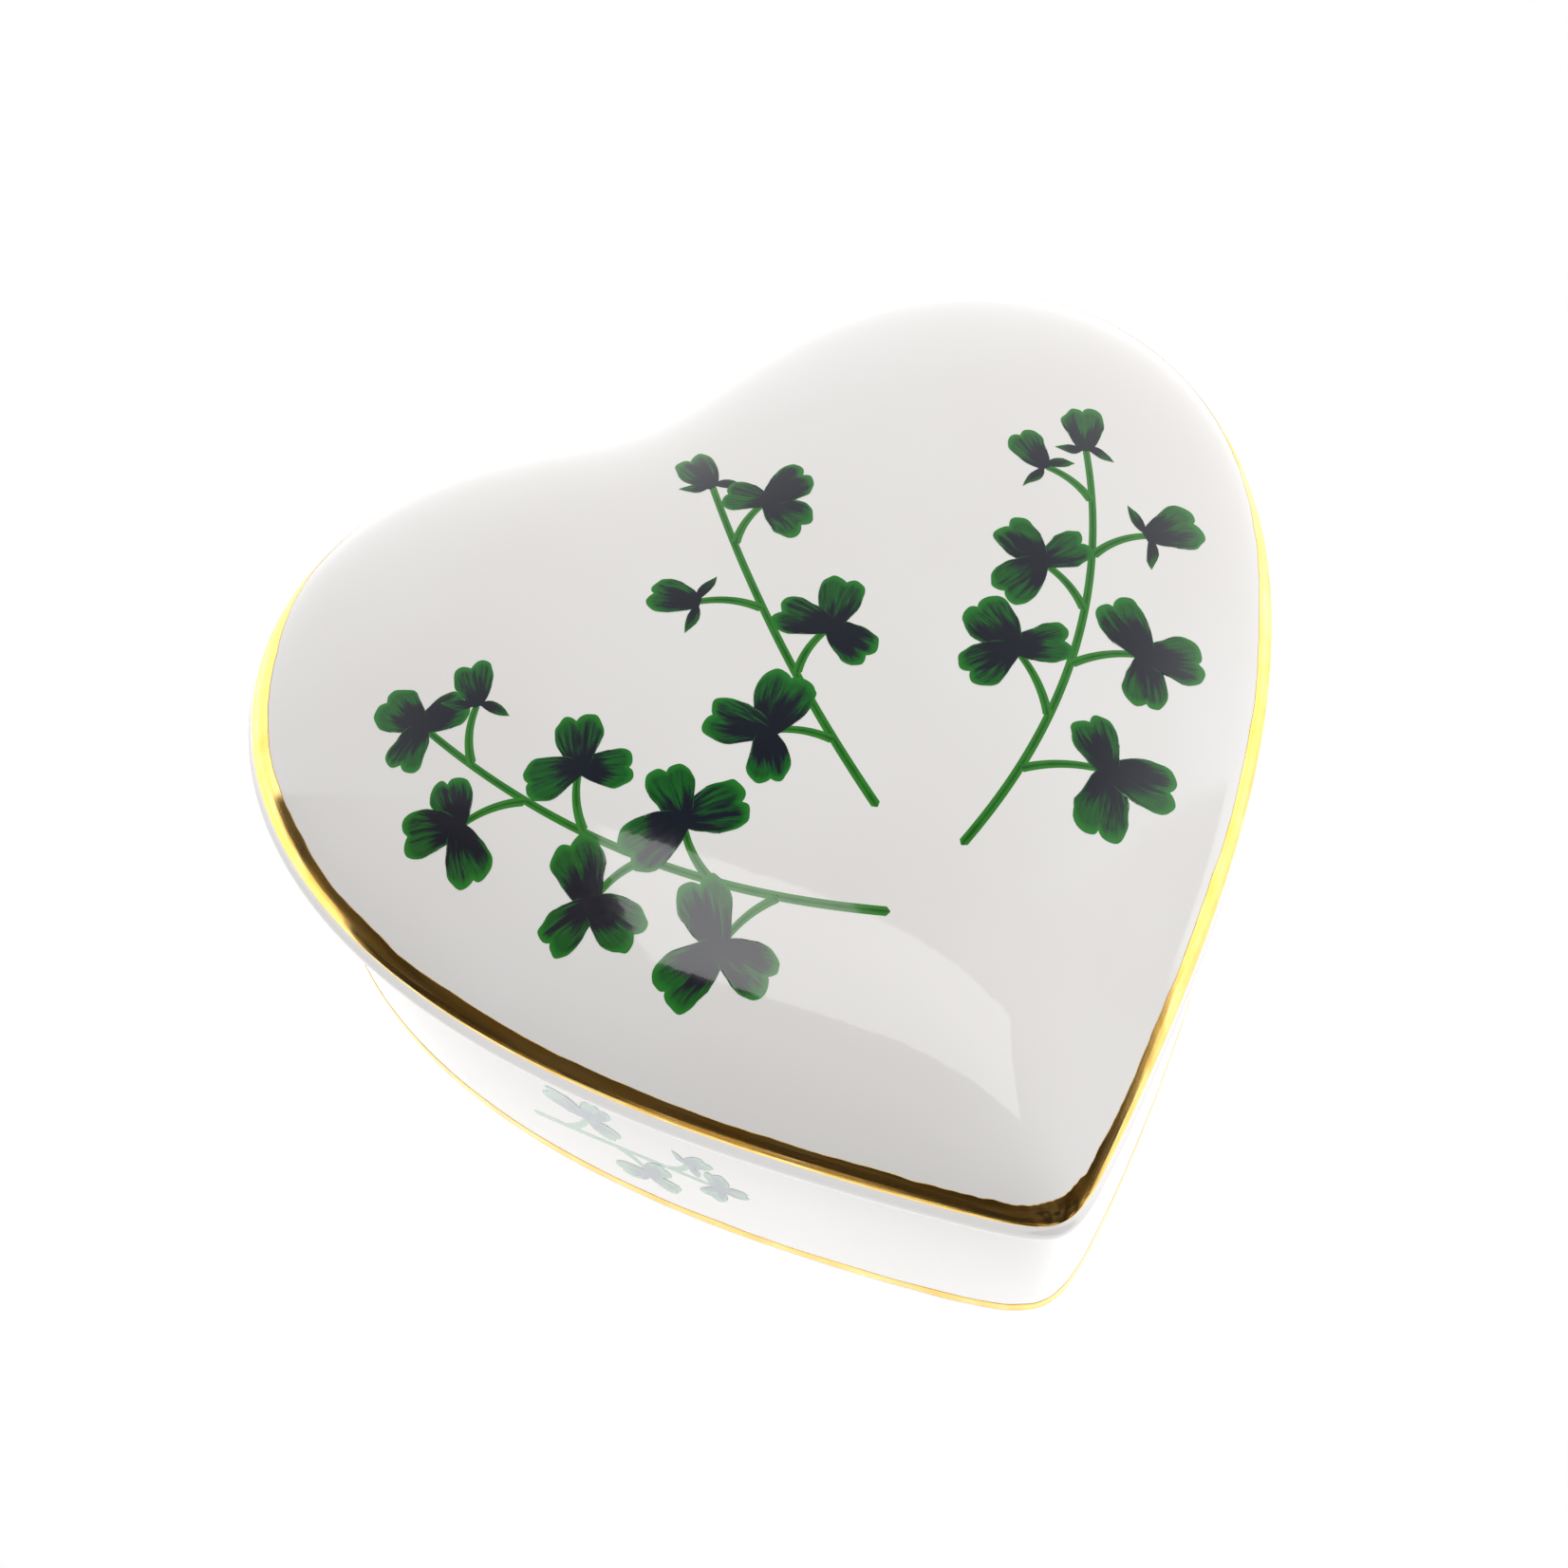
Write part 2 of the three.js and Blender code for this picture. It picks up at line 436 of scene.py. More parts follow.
cloverPrint = {
    "leafColumns": 33,  # of one leaf's mesh
    "leafRows": 8,
    "leafLift": 0.024,  # mm above the glaze
    "stemLift": 0.010,
    "stemHalfWidth": 0.38,
    "leafStack": 0.003,  # mm from one leaf of a clover to the next
    "leafStretch": 1.03,
    "leafNarrow": 0.86,
    "youngWidth": 1.0,  # mm, of a leaf not yet open
    "firstStalk": 0.2,  # share of a sprig's way
    "stalkAngle": (46, 60),  # degrees off the sprig
    "leafSpread": (70, 88),  # degrees between a clover's stalk and its side leaves
    "shrink": 0.34,  # how much smaller the last clover is than the first
    "youngFrom": 0.6,  # past this share of the way some clovers have unopened side leaves
    "seed": 7,
}

# Each sprig of a spray: its start (mm), its heading and how far it turns on its way (degrees), its
# length, the length of its largest leaves, and which side each stalk is on in turn (1 is left).
lidSprigs = [
    ((-3, -17), 150, -42, 45, 6.4, (1, -1, 1, -1, 1, -1)),
    ((5, -14), 26, 48, 42, 6.2, (-1, 1, -1, 1, -1, 1)),
    ((0, -8), 97, -16, 36, 5.8, (1, -1, 1, -1)),
]
wallSprigs = [((-10, -2.5), 20, -26, 19, 4.2, (1, -1, 1))]


# Lays clovers out along arching sprigs, to the left and right by turns and one at each sprig's end.
# A clover: its place, which way its stalk leaves, how far its side leaves are turned from the stalk,
# how far its end leaf leans, then length and width of its leaves. A stem: from, to, its bow.
def growSpray(sprigs, seed):
    draw = random.Random(seed)
    clovers, stems = [], []
    for start, heading, turn, length, size, sides in sprigs:
        middle = math.radians(heading + turn / 2)
        way = Vector((math.cos(middle), math.sin(middle))) * length
        aside = Vector((-way.y, way.x)) / length
        bow = -length * math.radians(turn) / 8  # an arc's height over its chord
        stems.append((start, tuple(Vector(start) + way), bow))
        for i, side in enumerate((*sides, 0)):
            share = cloverPrint["firstStalk"] + (1 - cloverPrint["firstStalk"]) * i / len(sides)
            root = Vector(start) + way * share + aside * bow * 4 * share * (1 - share)
            leafSize = size * (1 - cloverPrint["shrink"] * share)
            away = heading + turn * share + side * draw.uniform(*cloverPrint["stalkAngle"])
            stalk = abs(side) * leafSize * draw.uniform(1.05, 1.35)
            head = root + Vector((math.cos(math.radians(away)), math.sin(math.radians(away)))) * stalk
            if side:
                stems.append((tuple(root), tuple(head), -0.5 * side))
            young = share > cloverPrint["youngFrom"] and draw.random() < 0.5
            leaves = []
            for k in range(3):
                long = leafSize * draw.uniform(0.9, 1.12)
                if young and k != 1:
                    leaves.append((long * 0.65, cloverPrint["youngWidth"]))
                else:
                    leaves.append((long, long * draw.uniform(0.8, 0.95)))
            clovers.append((tuple(head), away + 180, draw.uniform(*cloverPrint["leafSpread"]),
                            draw.uniform(-18, 18), *leaves))
    return clovers, stems


# One lobe of a leaf 1 long: a circle and where it lies from the leaf's base.
leafLobe = {"radius": 0.32, "away": 0.68, "turn": 0.33}
leafLobe["spread"] = leafLobe["turn"] + math.asin(leafLobe["radius"] / leafLobe["away"])


# The leaf is a fan from its base, rounded at its sides and notched at its tip, or a pointed blade.
def leafTree():
    tree, given = startTree("cloverLeaves", {"Columns": "Int", "Rows": "Int", "Material": "Material"})
    sheet = addNode(tree, "GeometryNodeMeshGrid", {
        "Size X": 2.0, "Size Y": 1.0, "Vertices X": given.outputs["Columns"],
        "Vertices Y": given.outputs["Rows"]})
    flat = addNode(tree, "GeometryNodeInputPosition")
    fromBase = addNode(tree, "ShaderNodeVectorMath", {0: flat, 1: (0.0, 0.5, 0.0)}, operation="ADD")
    stored = addNode(tree, "GeometryNodeStoreNamedAttribute", {
        "Geometry": sheet.outputs[0], "Name": "leafRun", "Value": fromBase.outputs[0]},
        data_type="FLOAT_VECTOR")
    repeated = addNode(tree, "GeometryNodeInstanceOnPoints", {
        "Points": given.outputs["Geometry"], "Instance": stored})
    real = addNode(tree, "GeometryNodeRealizeInstances", {0: repeated})
    named = {}
    for name, kind in (("leafRun", "FLOAT_VECTOR"), ("turn", "FLOAT"), ("size", "FLOAT_VECTOR"),
                       ("leafSeed", "FLOAT")):
        named[name] = addNode(tree, "GeometryNodeInputNamedAttribute", {"Name": name},
                              data_type=kind).outputs[0]
    place = addNode(tree, "GeometryNodeInputPosition")
    gridPlace = addNode(tree, "ShaderNodeVectorMath", {0: named["leafRun"], 1: (0.0, -0.5, 0.0)},
                        operation="ADD")
    base = addNode(tree, "ShaderNodeVectorMath", {0: place, 1: gridPlace}, operation="SUBTRACT")
    run = addNode(tree, "ShaderNodeSeparateXYZ", {0: named["leafRun"]})
    size = addNode(tree, "ShaderNodeSeparateXYZ", {0: named["size"]})
    # two round lobes, each a circle as seen from the base, and straight sides down to it
    angle = addNode(tree, "ShaderNodeMath", {0: run.outputs[0], 1: leafLobe["spread"]}, operation="MULTIPLY")
    side = addNode(tree, "ShaderNodeMath", {0: angle}, operation="ABSOLUTE")
    off = addNode(tree, "ShaderNodeMath", {0: side, 1: leafLobe["turn"]}, operation="SUBTRACT")
    ahead = addNode(tree, "ShaderNodeMath", {0: off}, operation="COSINE")
    sideways = addNode(tree, "ShaderNodeMath", {0: off}, operation="SINE")
    square = addNode(tree, "ShaderNodeMath", {0: sideways, 1: 2.0}, operation="POWER")
    inside = addNode(tree, "ShaderNodeMath", {0: square, 1: -leafLobe["away"] ** 2,
                                              2: leafLobe["radius"] ** 2},
                     operation="MULTIPLY_ADD", use_clamp=True)
    bulge = addNode(tree, "ShaderNodeMath", {0: inside, 1: 0.5}, operation="POWER")
    reach = addNode(tree, "ShaderNodeMath", {0: ahead, 1: leafLobe["away"], 2: bulge},
                    operation="MULTIPLY_ADD")
    out = addNode(tree, "ShaderNodeMath", {0: reach, 1: run.outputs[1]}, operation="MULTIPLY")
    sine = addNode(tree, "ShaderNodeMath", {0: angle}, operation="SINE")
    cosine = addNode(tree, "ShaderNodeMath", {0: angle}, operation="COSINE")
    fanX = addNode(tree, "ShaderNodeMath", {0: sine, 1: out}, operation="MULTIPLY")
    fanY = addNode(tree, "ShaderNodeMath", {0: cosine, 1: out}, operation="MULTIPLY")
    # the leaf's foot has some width, so that the three leaves of a clover run together
    atFoot = addNode(tree, "ShaderNodeMath", {0: 1.0, 1: run.outputs[1]}, operation="SUBTRACT")
    footX = addNode(tree, "ShaderNodeMath", {0: run.outputs[0], 1: atFoot}, operation="MULTIPLY")
    belly = addNode(tree, "ShaderNodeMath", {0: run.outputs[1], 1: 0.26, 2: 0.12}, operation="MULTIPLY_ADD")
    wideX = addNode(tree, "ShaderNodeMath", {0: footX, 1: belly, 2: fanX}, operation="MULTIPLY_ADD")
    deepY = addNode(tree, "ShaderNodeMath", {0: atFoot, 1: -0.07, 2: fanY}, operation="MULTIPLY_ADD")
    fan = addNode(tree, "ShaderNodeCombineXYZ", {0: wideX, 1: deepY})
    # a leaf not yet open: a narrow blade, bowed, fullest half way along
    eased = addNode(tree, "ShaderNodeMath", {0: run.outputs[1], 1: 1.05}, operation="POWER")
    halfTurn = addNode(tree, "ShaderNodeMath", {0: eased, 1: math.pi}, operation="MULTIPLY")
    fullness = addNode(tree, "ShaderNodeMath", {0: halfTurn}, operation="SINE")
    bladeX = addNode(tree, "ShaderNodeMath", {0: run.outputs[0], 1: fullness}, operation="MULTIPLY")
    bow = addNode(tree, "ShaderNodeMath", {0: run.outputs[1], 1: 2.0}, operation="POWER")
    bowed = addNode(tree, "ShaderNodeMath", {0: bladeX, 1: 0.55, 2: addNode(
        tree, "ShaderNodeMath", {0: bow, 1: 0.9}, operation="MULTIPLY")}, operation="MULTIPLY_ADD")
    blade = addNode(tree, "ShaderNodeCombineXYZ", {0: bowed, 1: run.outputs[1]})
    shape = addNode(tree, "ShaderNodeMix", {0: size.outputs[2], 4: fan, 5: blade}, data_type="VECTOR")
    grown = addNode(tree, "ShaderNodeVectorMath", {
        0: shape.outputs[1], 1: addNode(tree, "ShaderNodeCombineXYZ",
                                        {0: size.outputs[1], 1: size.outputs[0], 2: 1.0})},
        operation="MULTIPLY")
    turned = addNode(tree, "ShaderNodeVectorRotate", {"Vector": grown, "Angle": named["turn"]},
                     rotation_type="Z_AXIS")
    # an unsteady hand: edges wander by about 0.15 mm over 2 mm
    shaky = addNode(tree, "ShaderNodeTexNoise", {
        "Vector": addNode(tree, "ShaderNodeVectorMath", {0: base, 1: turned}, operation="ADD"),
        "Scale": 480.0, "Detail": 1.0})
    centred = addNode(tree, "ShaderNodeVectorMath", {0: shaky.outputs["Color"], 1: (0.5, 0.5, 0.5)},
                      operation="SUBTRACT")
    shake = addNode(tree, "ShaderNodeVectorMath", {0: centred, 1: (0.9 * mm, 0.9 * mm, 0.0)},
                    operation="MULTIPLY")
    eachRun = addNode(tree, "ShaderNodeVectorMath", {0: shake, "Scale": run.outputs[1]}, operation="SCALE")
    placed = addNode(tree, "ShaderNodeVectorMath", {0: base, 1: turned}, operation="ADD")
    final = addNode(tree, "ShaderNodeVectorMath", {0: placed, 1: eachRun}, operation="ADD")
    moved = addNode(tree, "GeometryNodeSetPosition", {"Geometry": real, "Position": final.outputs[0]})
    painted = addNode(tree, "GeometryNodeSetMaterial",
                      {"Geometry": moved, "Material": given.outputs["Material"]})
    addNode(tree, "NodeGroupOutput", {0: painted})
    return tree


# Makes a flat strip along each line of points, as wide as the points say.
def stemTree():
    tree, given = startTree("cloverStems", {"Columns": "Int", "Material": "Material"})
    line = addNode(tree, "GeometryNodeMeshLine", {
        "Count": given.outputs["Columns"], "Start Location": (-1.0, 0.0, 0.0), "Offset": (1.0, 0.0, 0.0)},
        mode="END_POINTS")
    across = addNode(tree, "ShaderNodeSeparateXYZ", {0: addNode(tree, "GeometryNodeInputPosition")})
    kept = addNode(tree, "GeometryNodeStoreNamedAttribute", {
        "Geometry": line, "Name": "across", "Value": across.outputs[0]}, data_type="FLOAT")
    profile = addNode(tree, "GeometryNodeMeshToCurve", {0: kept})
    path = addNode(tree, "GeometryNodeMeshToCurve", {0: given.outputs["Geometry"]})
    upright = addNode(tree, "GeometryNodeSetCurveNormal", {"Curve": path})
    upright.mode = "Z_UP"
    half = addNode(tree, "GeometryNodeInputNamedAttribute", {"Name": "halfWidth"}, data_type="FLOAT")
    sized = addNode(tree, "GeometryNodeSetCurveRadius", {"Curve": upright, "Radius": half})
    strip = addNode(tree, "GeometryNodeCurveToMesh", {"Curve": sized, "Profile Curve": profile})
    if "Scale" in strip.inputs:
        tree.links.new(half.outputs[0], strip.inputs["Scale"])
    real = addNode(tree, "GeometryNodeRealizeInstances", {0: strip})
    painted = addNode(tree, "GeometryNodeSetMaterial",
                      {"Geometry": real, "Material": given.outputs["Material"]})
    addNode(tree, "NodeGroupOutput", {0: painted})
    return tree


# Stands a flat print up on a side of the object and lays it onto a piece along a ray.
def drapeTree():
    tree, given = startTree("drapePrint", {
        "Onto": "Object", "Origin": "Vector", "Side": "Vector", "Up": "Vector", "Ray": "Vector",
        "Lift": "Float",
        "Material": "Material"})
    flat = addNode(tree, "ShaderNodeSeparateXYZ", {0: addNode(tree, "GeometryNodeInputPosition")})
    sideways = addNode(tree, "ShaderNodeVectorMath", {0: given.outputs["Side"], "Scale": flat.outputs[0]},
                       operation="SCALE")
    upward = addNode(tree, "ShaderNodeVectorMath", {0: given.outputs["Up"], "Scale": flat.outputs[1]},
                     operation="SCALE")
    both = addNode(tree, "ShaderNodeVectorMath", {0: sideways, 1: upward}, operation="ADD")
    start = addNode(tree, "ShaderNodeVectorMath", {0: both, 1: given.outputs["Origin"]}, operation="ADD")
    onto = addNode(tree, "GeometryNodeObjectInfo", {"Object": given.outputs["Onto"]})
    hit = addNode(tree, "GeometryNodeRaycast", {
        "Target Geometry": onto.outputs["Geometry"], "Source Position": start,
        "Ray Direction": given.outputs["Ray"], "Ray Length": 0.1})
    stack = addNode(tree, "GeometryNodeInputNamedAttribute", {"Name": "stack"}, data_type="FLOAT")
    height = addNode(tree, "ShaderNodeMath", {0: given.outputs["Lift"], 1: stack}, operation="ADD")
    lifted = addNode(tree, "ShaderNodeVectorMath", {0: hit.outputs["Hit Normal"], "Scale": height},
                     operation="SCALE")
    final = addNode(tree, "ShaderNodeVectorMath", {0: hit.outputs["Hit Position"], 1: lifted},
                    operation="ADD")
    moved = addNode(tree, "GeometryNodeSetPosition",
                    {"Geometry": given.outputs["Geometry"], "Position": final})
    smooth = addNode(tree, "GeometryNodeSetShadeSmooth", {"Geometry": moved})
    real = addNode(tree, "GeometryNodeRealizeInstances", {0: smooth})
    painted = addNode(tree, "GeometryNodeSetMaterial",
                      {"Geometry": real, "Material": given.outputs["Material"]})
    addNode(tree, "NodeGroupOutput", {0: painted})
    return tree


# Transfer print under gloss: bottle green with a brushed near-black heart to each leaf, streaks
# running out from its base, and a thin bright green rim where the ink thins.
def leafPrint(name, green, mid, dark, rim):
    material, tree, shader = startMaterial(name)
    run = addNode(tree, "ShaderNodeAttribute", attribute_name="leafRun").outputs["Vector"]
    seed = addNode(tree, "ShaderNodeAttribute", attribute_name="leafSeed").outputs["Fac"]
    parts = addNode(tree, "ShaderNodeSeparateXYZ", {0: run})
    side = addNode(tree, "ShaderNodeMath", {0: parts.outputs[0]}, operation="ABSOLUTE")
    brushed = addNode(tree, "ShaderNodeVectorMath", {0: run, 1: (5.0, 1.1, 1.0)}, operation="MULTIPLY")
    streak = addNode(tree, "ShaderNodeTexNoise", {"Vector": brushed, "W": seed, "Scale": 1.3, "Detail": 4.0,
                                                  "Roughness": 0.65}, noise_dimensions="4D")
    blot = addNode(tree, "ShaderNodeTexNoise", {"Vector": run, "W": seed, "Scale": 1.1, "Detail": 1.0},
                   noise_dimensions="4D")
    # dark near the base: share of the leaf's length, a little of the side, and streak and blot
    reach = addNode(tree, "ShaderNodeMath", {0: side, 1: 0.12, 2: parts.outputs[1]}, operation="MULTIPLY_ADD")
    rough = addNode(tree, "ShaderNodeMath", {0: streak, 1: 1.5, 2: reach}, operation="MULTIPLY_ADD")
    uneven = addNode(tree, "ShaderNodeMath", {0: blot, 1: 1.3, 2: rough}, operation="MULTIPLY_ADD")
    shadow = addNode(tree, "ShaderNodeMapRange", {0: uneven, 1: 1.93, 2: 2.33, 3: 1.0, 4: 0.0},
                     interpolation_type="SMOOTHSTEP")
    tint = setRamp(addNode(tree, "ShaderNodeValToRGB", {0: streak}), ((0.35, green), (0.65, mid)))
    core = addNode(tree, "ShaderNodeMix", {0: shadow, 6: tint, 7: hexColour(dark)}, data_type="RGBA")
    edgeLine = addNode(tree, "ShaderNodeMapRange", {0: parts.outputs[1], 1: 0.86, 2: 0.97})
    sideLine = addNode(tree, "ShaderNodeMapRange", {0: side, 1: 0.9, 2: 0.98})
    edge = addNode(tree, "ShaderNodeMath", {0: edgeLine, 1: sideLine}, operation="MAXIMUM")
    fromFoot = addNode(tree, "ShaderNodeMapRange", {0: parts.outputs[1], 1: 0.2, 2: 0.5, 3: 0.0, 4: 0.8})
    thin = addNode(tree, "ShaderNodeMath", {0: edge, 1: fromFoot}, operation="MULTIPLY")
    colour = addNode(tree, "ShaderNodeMix", {0: thin, 6: core.outputs[2], 7: hexColour(rim)},
                     data_type="RGBA")
    place = addNode(tree, "ShaderNodeTexCoord").outputs["Object"]
    gloss = addNode(tree, "ShaderNodeTexNoise", {"Vector": place, "Scale": 900.0, "Detail": 2.0})
    dull = addNode(tree, "ShaderNodeMapRange", {0: gloss, 3: 0.06, 4: 0.14})
    relief = addNode(tree, "ShaderNodeBump", {"Height": streak, "Strength": 0.4, "Distance": 0.01 * mm})
    for socket, value in {"Base Color": colour.outputs[2], "Roughness": dull.outputs[0],
                          "Normal": relief.outputs[0]}.items():
        tree.links.new(value, shader.inputs[socket])
    shader.inputs["IOR"].default_value = 1.52
    shader.inputs["Coat Weight"].default_value = 1.0
    shader.inputs["Coat Roughness"].default_value = 0.03
    return material


# The stems' ink: lighter leaf green, with a thin darker stroke down the middle.
def stemPrint(name, edge, core):
    material, tree, shader = startMaterial(name)
    across = addNode(tree, "ShaderNodeAttribute", attribute_name="across").outputs["Fac"]
    side = addNode(tree, "ShaderNodeMath", {0: across}, operation="ABSOLUTE")
    place = addNode(tree, "ShaderNodeTexCoord").outputs["Object"]
    uneven = addNode(tree, "ShaderNodeTexNoise", {"Vector": place, "Scale": 420.0, "Detail": 2.0})  # 2.4 mm
    wide = addNode(tree, "ShaderNodeMath", {0: uneven, 1: 0.9, 2: side}, operation="MULTIPLY_ADD")
    tint = setRamp(addNode(tree, "ShaderNodeValToRGB", {0: wide}), ((0.45, core), (0.95, edge)))
    dull = addNode(tree, "ShaderNodeMapRange", {0: uneven, 3: 0.06, 4: 0.14})
    tree.links.new(tint.outputs[0], shader.inputs["Base Color"])
    tree.links.new(dull.outputs[0], shader.inputs["Roughness"])
    shader.inputs["IOR"].default_value = 1.52
    shader.inputs["Coat Weight"].default_value = 1.0
    shader.inputs["Coat Roughness"].default_value = 0.03
    return material


# Stores a value or a vector at each point of a mesh, by name.
def storeValues(mesh, named):
    for name, values in named.items():
        vector = hasattr(values[0], "__len__")
        mesh.attributes.new(name, "FLOAT_VECTOR" if vector else "FLOAT", "POINT")
        flat = [v for value in values for v in value] if vector else values
        mesh.attributes[name].data.foreach_set("vector" if vector else "value", flat)


def leafPoints(name, clovers, seed):
    draw = random.Random(seed)
    rows = []
    for (x, y), stem, spread, lean, left, end, right in clovers:
        for turn, (length, width) in ((stem + spread, left), (stem + 180 + lean, end),
                                      (stem - spread, right)):
            pointed = 1.0 if width == cloverPrint["youngWidth"] else 0.0
            narrow = 1 if pointed else cloverPrint["leafNarrow"]
            size = (length * mm * cloverPrint["leafStretch"], width * mm * narrow, pointed)
            rows.append(((x * mm, y * mm, 0), math.radians(turn - 90), size, draw.uniform(0, 40)))
    mesh = bpy.data.meshes.new(name)
    mesh.from_pydata([row[0] for row in rows], [], [])
    # leaves of one clover lie over each other
    storeValues(mesh, {"turn": [row[1] for row in rows], "size": [row[2] for row in rows],
                       "leafSeed": [row[3] for row in rows],
                       "stack": [cloverPrint["leafStack"] * mm * (i % 3) for i in range(len(rows))]})
    return mesh


# A bowed line of points, with a half width at each, blunt at both ends.
def strokePoints(start, end, bow, halfWidth, tipWidth, steps):
    start, end = Vector((*start, 0)), Vector((*end, 0))
    way = end - start
    aside = Vector((-way.y, way.x, 0)).normalized() * bow
    points = []
    for i in range(steps + 1):
        share = i / steps
        width = halfWidth + (tipWidth - halfWidth) * share
        fromEnd = min(share, 1 - share) * way.length
        blunt = math.sqrt(max(1 - (1 - min(fromEnd / 0.35, 1)) ** 2, 0.02))
        points.append((start + way * share + aside * 4 * share * (1 - share), width * blunt))
    return points


def stemLines(name, stems):
    points, edges, widths, stacks = [], [], [], []
    half = cloverPrint["stemHalfWidth"]
    for s, (start, end, bow) in enumerate(stems):
        stroke = strokePoints(start, end, bow, half * 1.1, half * 0.8,
                              max(int(math.dist(start, end) / 0.3), 8))
        edges += [(len(points) + i, len(points) + i + 1) for i in range(len(stroke) - 1)]
        points += [p * mm for p, _ in stroke]
        widths += [w * mm for _, w in stroke]
        stacks += [0.0001 * mm * s] * len(stroke)
    mesh = bpy.data.meshes.new(name)
    mesh.from_pydata(points, edges, [])
    storeValues(mesh, {"halfWidth": widths, "stack": stacks})
    return mesh


cloverLeaves, cloverStems, drapePrint = leafTree(), stemTree(), drapeTree()
leafInk = leafPrint("cloverLeafInk", "#064c14", "#0e6220", "#0b1122", "#1f8022")
stemInk = stemPrint("cloverStemInk", "#2c7f20", "#125616")
paleLeafInk = leafPrint("paleLeafInk", "#7d9f8c", "#8fb09e", "#7b8790", "#8fb79f")
paleStemInk = stemPrint("paleStemInk", "#8fb3a0", "#789c8b")


def laySpray(names, sprigs, inks, onto, place, seed):
    clovers, stems = growSpray(sprigs, seed)
    leaves = shapeByTrees(names[0], leafPoints(names[0], clovers, seed), [
        (cloverLeaves, {"Columns": cloverPrint["leafColumns"], "Rows": cloverPrint["leafRows"],
                        "Material": inks[0]}),
        (drapePrint, {**place, "Onto": onto, "Lift": cloverPrint["leafLift"] * mm, "Material": inks[0]})])
    stalks = shapeByTrees(names[1], stemLines(names[1], stems), [
        (cloverStems, {"Columns": 5, "Material": inks[1]}),
        (drapePrint, {**place, "Onto": onto, "Lift": cloverPrint["stemLift"] * mm, "Material": inks[1]})])
    return leaves, stalks


def heartSpot(inset, angle):
    ring = 1 - inset / heart["halfWidth"]
    x, y = (sum(size * ring ** (1 + heart["softening"] * k) * wave((k + 1) * angle)
                for k, size in enumerate(heart[name]))
            for name, wave in (("across", math.sin), ("along", math.cos)))
    return Vector((x, y + heart["alongShift"] * ring, 0))


# A spray's origin and directions, 20 mm out from the tray's wall at an angle round the heart.
def wallPlace(angle, z):
    spot = heartSpot(4, angle)
    side = (heartSpot(4, angle + 0.01) - heartSpot(4, angle - 0.01)).normalized()
    out = Vector((side.y, -side.x, 0))
    if out.dot(spot - heartSpot(20, angle)) < 0:
        out = -out
    right = Vector((0, 0, 1)).cross(out)
    return {"Origin": tuple((spot + out * 20 + Vector((0, 0, z))) * mm), "Side": tuple(right),
            "Up": (0.0, 0.0, 1.0), "Ray": tuple(-out)}


lidTop = {"Origin": (0.0, 0.0, 0.08), "Side": (1.0, 0.0, 0.0), "Up": (0.0, 1.0, 0.0), "Ray": (0.0, 0.0, -1.0)}
lidLeaves, lidStalks = laySpray(("lidCloverLeaves", "lidCloverStems"), lidSprigs, (leafInk, stemInk),
                                lidPorcelain, lidTop, cloverPrint["seed"])
wallPrints = []
for name, angle in (("tray", 238.5), ("trayBack", 62)):  # degrees round the heart
    wallPrints += laySpray((name + "CloverLeaves", name + "CloverStems"), wallSprigs,
                           (paleLeafInk, paleStemInk), trayPorcelain, wallPlace(math.radians(angle), 11),
                           cloverPrint["seed"] + 1)
print("clover print laid", len(lidLeaves.data.polygons), len(lidStalks.data.polygons))

for piece, body, slot in (
        (trayPorcelain, "tray", "tray_porcelain"), (trayGilt, "tray", "gilt"),
        (footRing, "tray", "foot_biscuit"),
        *((piece, "tray", "clover_print") for piece in wallPrints),
        (lidPorcelain, "lid", "lid_porcelain"), (lidGilt, "lid", "gilt"),
        (lidLeaves, "lid", "clover_print"), (lidStalks, "lid", "clover_print")):
    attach(piece, body)
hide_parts("tray")
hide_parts("lid")

studio = {
    "floorRadius": 90,  # mm
    "floorShift": 12,
    "floorGlow": 0.68,
    "softbox": ((-60, -95, 600), (560, 300), -37, 1.05),  # place and size in mm, turn, power
    "fill": (0.87, (0.36, 0.18, -0.26)),  # soft light all round, and how it grows along x, y and z
    "litLow": 2.1,
    "litHigh": 0.12,
    "unlit": 0.16,
    "unlitLow": 0.03,
    "unlitTint": "#ffeee4",
    "worktop": 1.0,
    "worktopLine": (-0.43, -0.38),  # from and to, as z of the way looked
    "openAbove": (-0.38, -0.92, 0.0),  # where the open side lies, above the horizon and below it
    "openBelow": (-0.25, -0.97, 0.0),
    "openEdge": 0.2,
    "tableHides": 0.3,
}


def addLight(name, place, size, turn, power):
    data = bpy.data.lights.new(name, "AREA")
    data.shape = "RECTANGLE"
    data.size, data.size_y = (side * mm for side in size)
    data.energy = power
    light = bpy.data.objects.new(name, data)
    light.location = Vector(place) * mm
    light.rotation_euler.z = math.radians(turn)
    scene.collection.objects.link(light)


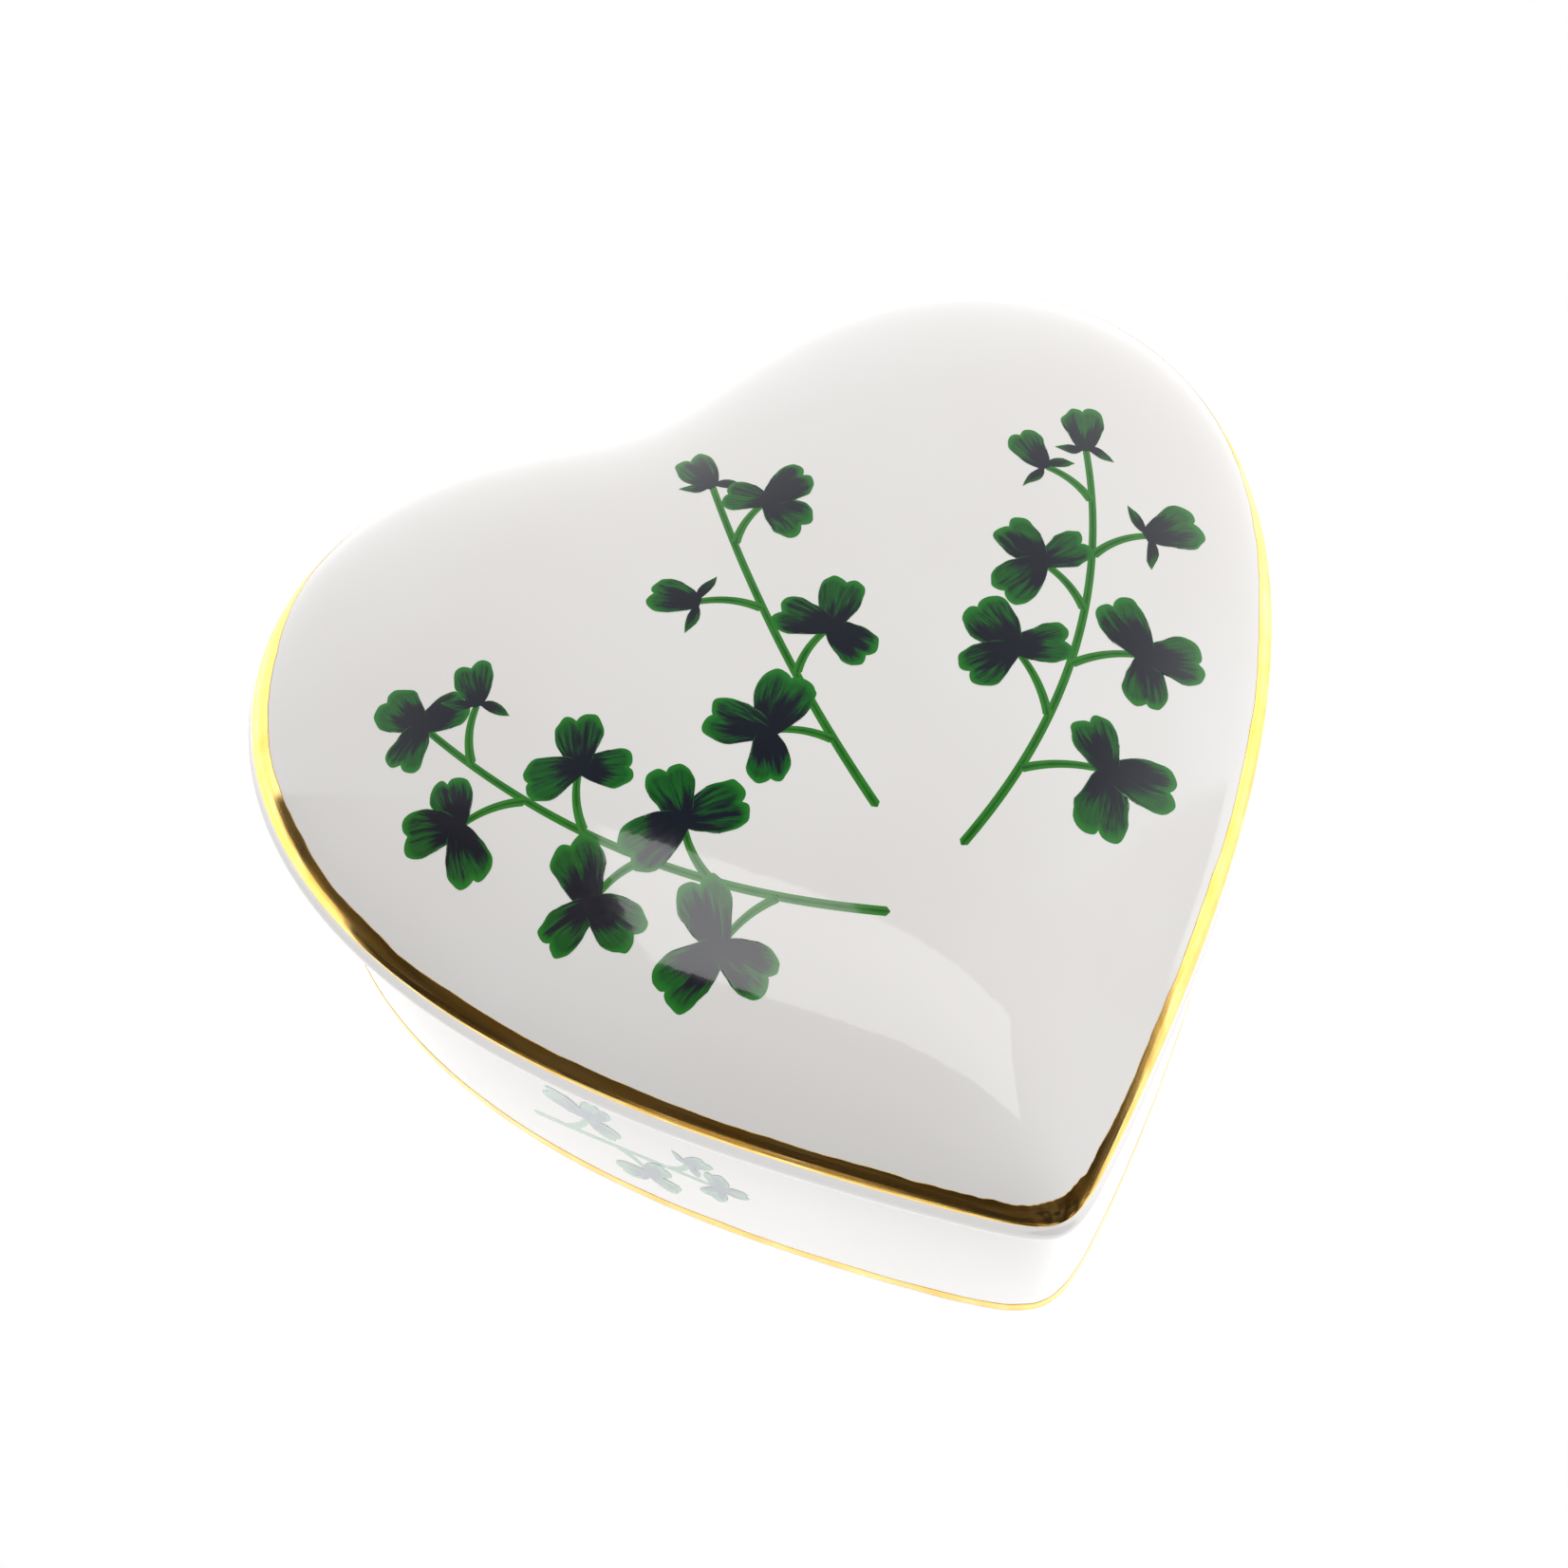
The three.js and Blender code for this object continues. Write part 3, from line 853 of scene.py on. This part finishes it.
def addStudio():
    work = bmesh.new()
    bmesh.ops.create_circle(work, cap_ends=True, segments=96, radius=studio["floorRadius"] * mm)
    mesh = bpy.data.meshes.new("studioFloor")
    work.to_mesh(mesh)
    work.free()
    floor = bpy.data.objects.new("studioFloor", mesh)
    scene.collection.objects.link(floor)
    material, tree, shader = startMaterial("paleStudioFloor")
    shader.inputs["Base Color"].default_value = hexColour("#f4f4f4")
    shader.inputs["Roughness"].default_value = 0.9
    shader.inputs["Emission Color"].default_value = (1, 1, 1, 1)
    shader.inputs["Emission Strength"].default_value = studio["floorGlow"]
    mesh.materials.append(material)
    floor.location = (0, studio["floorShift"] * mm, cadBox[0].z)
    addLight("softbox", *studio["softbox"])

    world = bpy.data.worlds.new("studioWorld")
    world.use_nodes = True
    scene.world = world
    tree = world.node_tree
    tree.nodes.clear()
    way = addNode(tree, "ShaderNodeTexCoord").outputs["Generated"]
    parts = addNode(tree, "ShaderNodeSeparateXYZ", {0: way})
    # what the gloss mirrors: lit walls behind, brightest low down, and the studio's open side, in front
    # and a little to the left, unlit and darkest low down
    lit = addNode(tree, "ShaderNodeMapRange", {0: parts.outputs[2], 1: -0.3, 2: 0.92, 3: studio["litLow"],
                                               4: studio["litHigh"]})
    low = addNode(tree, "ShaderNodeMapRange", {0: parts.outputs[2], 1: 0.1, 2: 0.6, 3: studio["unlitLow"],
                                               4: studio["unlit"]})
    # a pale worktop beyond the floor, a thin line in the gilt
    overLine = addNode(tree, "ShaderNodeMath", {0: parts.outputs[2], 1: studio["worktopLine"][0]},
                       operation="GREATER_THAN")
    underLine = addNode(tree, "ShaderNodeMath", {0: parts.outputs[2], 1: studio["worktopLine"][1]},
                        operation="LESS_THAN")
    both = addNode(tree, "ShaderNodeMath", {0: overLine, 1: underLine}, operation="MULTIPLY")
    patches = addNode(tree, "ShaderNodeTexNoise", {"Vector": way, "Scale": 5.0, "Detail": 0.0})
    seenHere = addNode(tree, "ShaderNodeMapRange", {0: patches, 1: 0.42, 2: 0.56})
    strip = addNode(tree, "ShaderNodeMath", {0: both, 1: seenHere}, operation="MULTIPLY")
    glints = addNode(tree, "ShaderNodeMath", {0: strip, 1: studio["worktop"], 2: low},
                     operation="MULTIPLY_ADD")
    dim = addNode(tree, "ShaderNodeMath", {0: seenHere, 1: 0.06, 2: glints}, operation="MULTIPLY_ADD")
    # below the horizon the lit table hides some of the open side
    underHorizon = addNode(tree, "ShaderNodeMapRange", {0: parts.outputs[2], 1: -0.02, 2: -0.1})
    openWay = addNode(tree, "ShaderNodeMix", {0: underHorizon, 4: studio["openAbove"],
                                              5: studio["openBelow"]},
                   data_type="VECTOR")
    edge = addNode(tree, "ShaderNodeMath", {0: underHorizon, 1: studio["tableHides"],
                                            2: studio["openEdge"]}, operation="MULTIPLY_ADD")
    facing = addNode(tree, "ShaderNodeVectorMath", {0: way, 1: openWay.outputs[1]}, operation="DOT_PRODUCT")
    beyond = addNode(tree, "ShaderNodeMath", {0: facing.outputs["Value"], 1: edge}, operation="SUBTRACT")
    openSide = addNode(tree, "ShaderNodeMapRange", {0: beyond, 1: -0.4, 2: -0.37},
                       interpolation_type="SMOOTHSTEP")
    mirrored = addNode(tree, "ShaderNodeMix", {0: openSide, 2: lit, 3: dim})
    tint = addNode(tree, "ShaderNodeMix", {0: openSide, 6: (1, 1, 1, 1), 7: hexColour(studio["unlitTint"])},
                   data_type="RGBA")
    # what lights the matt surfaces: a soft fill, stronger from the right and from low down
    level, growth = studio["fill"]
    lean = addNode(tree, "ShaderNodeVectorMath", {0: way, 1: growth}, operation="DOT_PRODUCT")
    fill = addNode(tree, "ShaderNodeMath", {0: lean.outputs["Value"], 1: level}, operation="ADD")
    seen = addNode(tree, "ShaderNodeLightPath")
    soft = addNode(tree, "ShaderNodeMix", {0: seen.outputs["Is Diffuse Ray"], 2: mirrored, 3: fill})
    strength = addNode(tree, "ShaderNodeMix", {0: seen.outputs["Is Camera Ray"], 2: soft, 3: 1.0})
    plain = addNode(tree, "ShaderNodeMath", {0: seen.outputs["Is Camera Ray"],
                                             1: seen.outputs["Is Diffuse Ray"]},
                    operation="MAXIMUM")
    colour = addNode(tree, "ShaderNodeMix", {0: plain, 6: tint.outputs[2], 7: (1, 1, 1, 1)}, data_type="RGBA")
    background = addNode(tree, "ShaderNodeBackground", {"Color": colour.outputs[2], "Strength": strength})
    addNode(tree, "ShaderNodeOutputWorld", {"Surface": background})


addStudio()
scene.view_settings.view_transform = "Standard"
print("studio lit")
